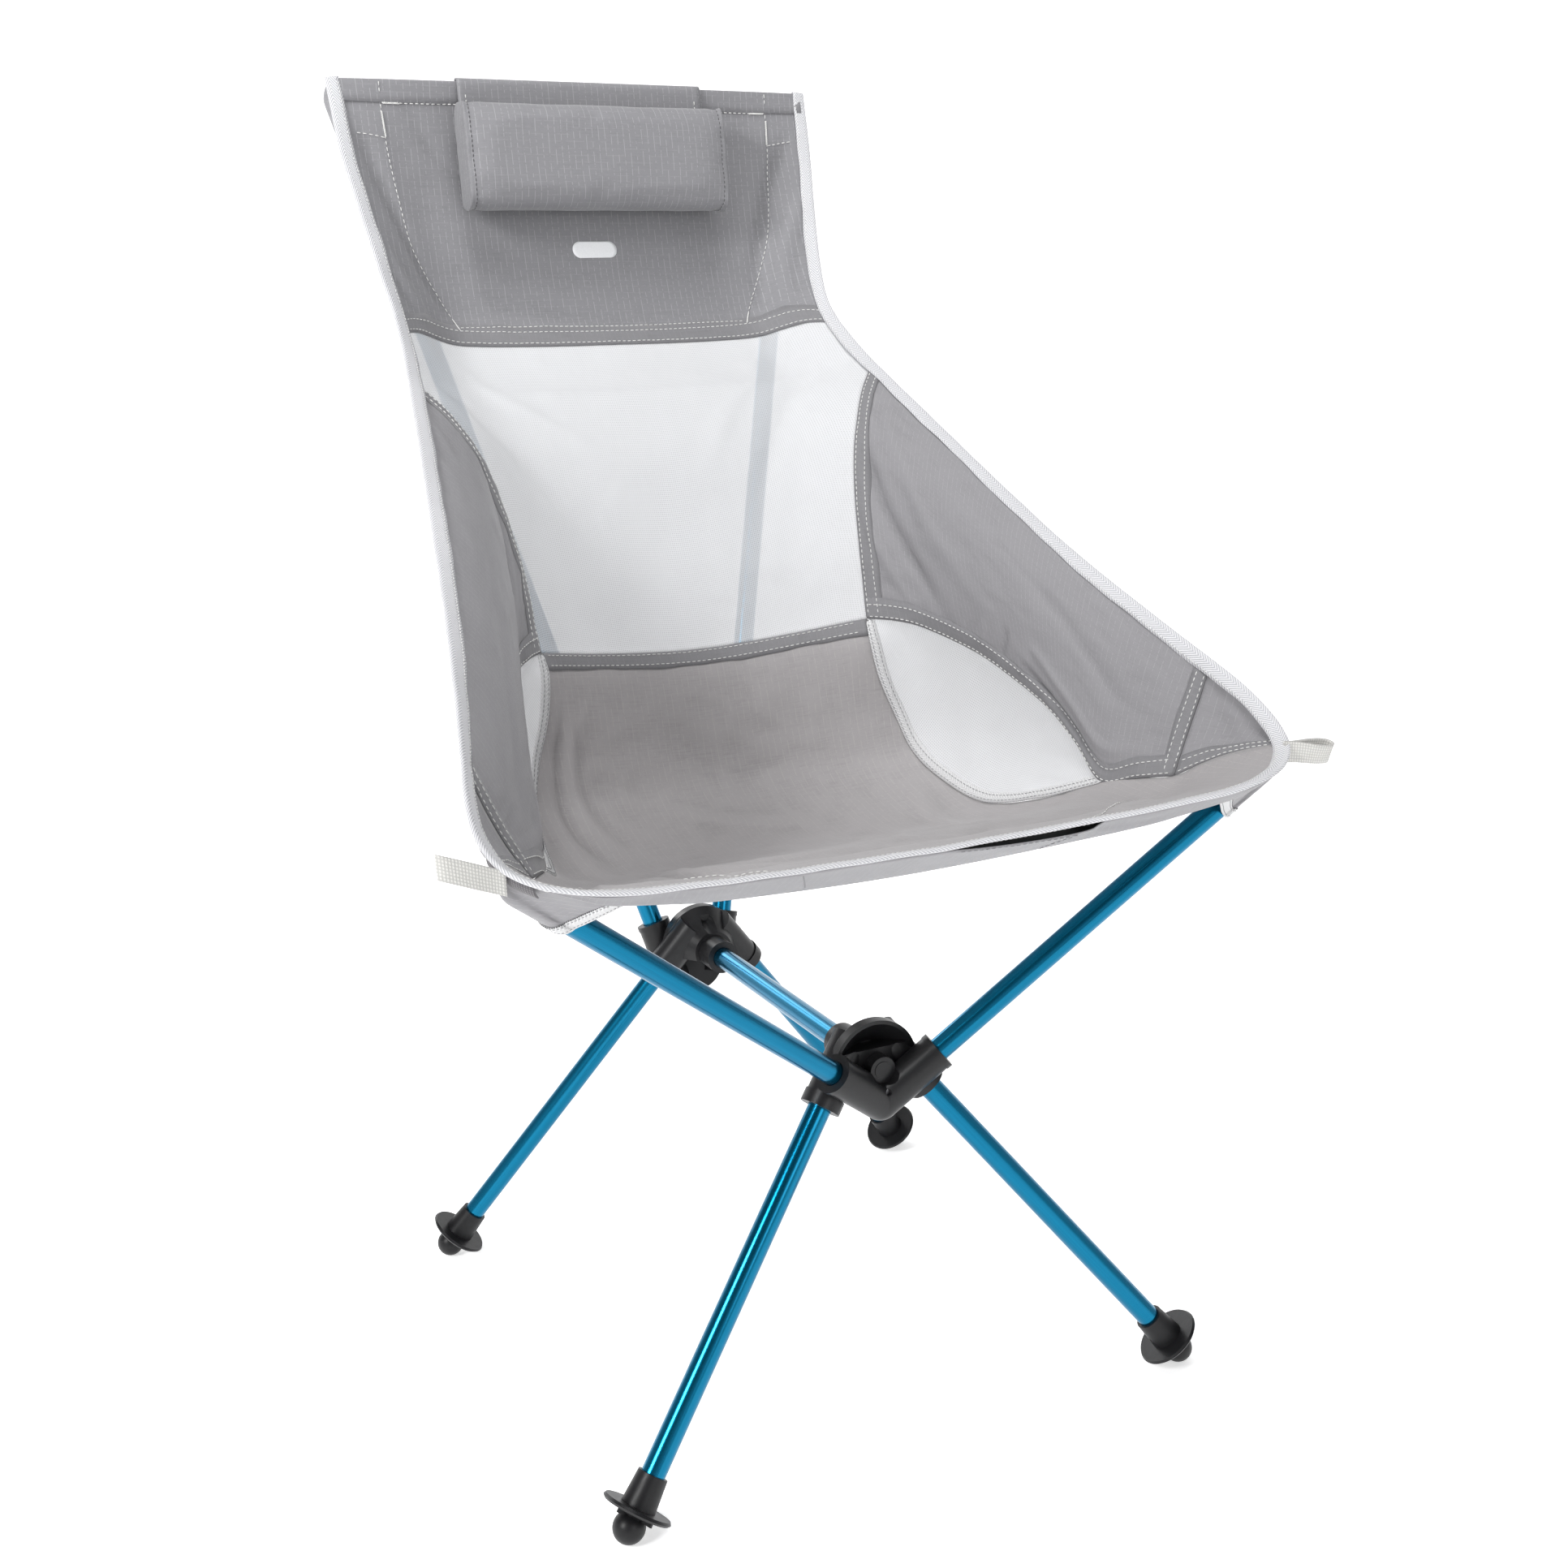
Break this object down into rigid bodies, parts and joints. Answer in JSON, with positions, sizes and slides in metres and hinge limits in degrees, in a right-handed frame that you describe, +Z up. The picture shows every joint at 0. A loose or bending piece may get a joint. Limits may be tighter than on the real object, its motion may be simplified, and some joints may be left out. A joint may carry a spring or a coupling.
{
  "type": "backpacking chair",
  "caption": "High-back ultralight camp chair: pole frame on two hubs with ball feet, sewn sling seat with mesh back and side windows, and a flip-over headrest pillow.",
  "frame": {"origin": "centre of the bounding box on the ground plane, under the seat", "axes": "+Z up, the sitter faces -Y, +X to the sitter's left, X = 0 is the plane of symmetry"},
  "size_m": [0.61, 0.5999, 0.9292],
  "materials": {
    "anodised_tube": "blue anodised, fine lengthwise brushing",
    "hub_plastic": "satin moulded nylon",
    "foot_rubber": "smooth satin rubber",
    "screw_steel": "dark zinc",
    "ferrule_aluminium": "plain turned",
    "shock_cord": "braided elastic cord",
    "ripstop_grey": "ripstop polyester with a light grid",
    "seat_grey": "ripstop polyester, slightly sheer",
    "mesh_white": "fine white mesh",
    "binding_white": "herringbone binding tape",
    "webbing_white": "flat woven webbing"
  },
  "bodies": {
    "root": {"spreader_tube": "anodised_tube", "front_hub_yoke": "hub_plastic", "rear_hub_yoke": "hub_plastic", "front_hub_cradle": "hub_plastic", "rear_hub_cradle": "hub_plastic", "hub_pivot_pins": "hub_plastic", "hub_pin_caps": "hub_plastic", "hub_screws": "screw_steel", "arm_tube_left": "anodised_tube", "arm_tip_left": "foot_rubber", "lower_back_tube_left": "anodised_tube", "upper_back_tube_left": "anodised_tube", "back_ferrule_left": "ferrule_aluminium", "back_tip_left": "foot_rubber", "arm_tube_right": "anodised_tube", "arm_tip_right": "foot_rubber", "lower_back_tube_right": "anodised_tube", "upper_back_tube_right": "anodised_tube", "back_ferrule_right": "ferrule_aluminium", "back_tip_right": "foot_rubber", "arm_shock_cords": "shock_cord", "back_shock_cords": "shock_cord", "spreader_shock_cord": "shock_cord", "leg_cord_front_left": "shock_cord", "leg_cord_front_right": "shock_cord", "leg_cord_rear_left": "shock_cord", "leg_cord_rear_right": "shock_cord", "back_panel": "ripstop_grey", "mesh_back": "mesh_white", "seat_panel": "seat_grey", "side_panel_left": "ripstop_grey", "side_window_left": "mesh_white", "corner_gusset_left": "ripstop_grey", "corner_pocket_left": "ripstop_grey", "top_pocket_left": "ripstop_grey", "side_panel_right": "ripstop_grey", "side_window_right": "mesh_white", "corner_gusset_right": "ripstop_grey", "corner_pocket_right": "ripstop_grey", "top_pocket_right": "ripstop_grey", "front_underlayer": "ripstop_grey", "edge_binding": "binding_white", "flap_tail": "ripstop_grey"},
    "leg_front_left": {"leg_tube_front_left": "anodised_tube", "leg_plug_front_left": "foot_rubber", "foot_front_left": "foot_rubber"},
    "leg_front_right": {"leg_tube_front_right": "anodised_tube", "leg_plug_front_right": "foot_rubber", "foot_front_right": "foot_rubber"},
    "leg_rear_left": {"leg_tube_rear_left": "anodised_tube", "leg_plug_rear_left": "foot_rubber", "foot_rear_left": "foot_rubber"},
    "leg_rear_right": {"leg_tube_rear_right": "anodised_tube", "leg_plug_rear_right": "foot_rubber", "foot_rear_right": "foot_rubber"},
    "pillow": {"headrest_pillow": "ripstop_grey", "headrest_flap": "ripstop_grey"},
    "loop_left": {"webbing_loop_left": "webbing_white"},
    "loop_right": {"webbing_loop_right": "webbing_white"}
  },
  "joints": [
    {"name": "leg_pull_front_left", "type": "slide", "parent": "root", "child": "leg_front_left", "axis": [0.5992, -0.2097, -0.7727], "range_m": [0, 0.03], "stiffness_N_per_m": 200, "springref_m": -0.05},
    {"name": "leg_pull_front_right", "type": "slide", "parent": "root", "child": "leg_front_right", "axis": [-0.5992, -0.2097, -0.7727], "range_m": [0, 0.03], "stiffness_N_per_m": 200, "springref_m": -0.05},
    {"name": "leg_pull_rear_left", "type": "slide", "parent": "root", "child": "leg_rear_left", "axis": [0.5992, 0.2097, -0.7727], "range_m": [0, 0.03], "stiffness_N_per_m": 200, "springref_m": -0.05},
    {"name": "leg_pull_rear_right", "type": "slide", "parent": "root", "child": "leg_rear_right", "axis": [-0.5992, 0.2097, -0.7727], "range_m": [0, 0.03], "stiffness_N_per_m": 200, "springref_m": -0.05},
    {"name": "pillow_flip", "type": "hinge", "parent": "root", "child": "pillow", "pos_m": [0, 0.2721, 0.929], "axis": [-1, 0, 0], "range_deg": [0, 110]},
    {"name": "loop_swing_left", "type": "hinge", "parent": "root", "child": "loop_left", "pos_m": [0.2792, -0.2759, 0.45], "axis": [0, 0, 1], "range_deg": [-30, 30], "stiffness_Nm_per_rad": 0.002},
    {"name": "loop_swing_right", "type": "hinge", "parent": "root", "child": "loop_right", "pos_m": [-0.2792, -0.2759, 0.45], "axis": [0, 0, 1], "range_deg": [-30, 30], "stiffness_Nm_per_rad": 0.002}
  ]
}
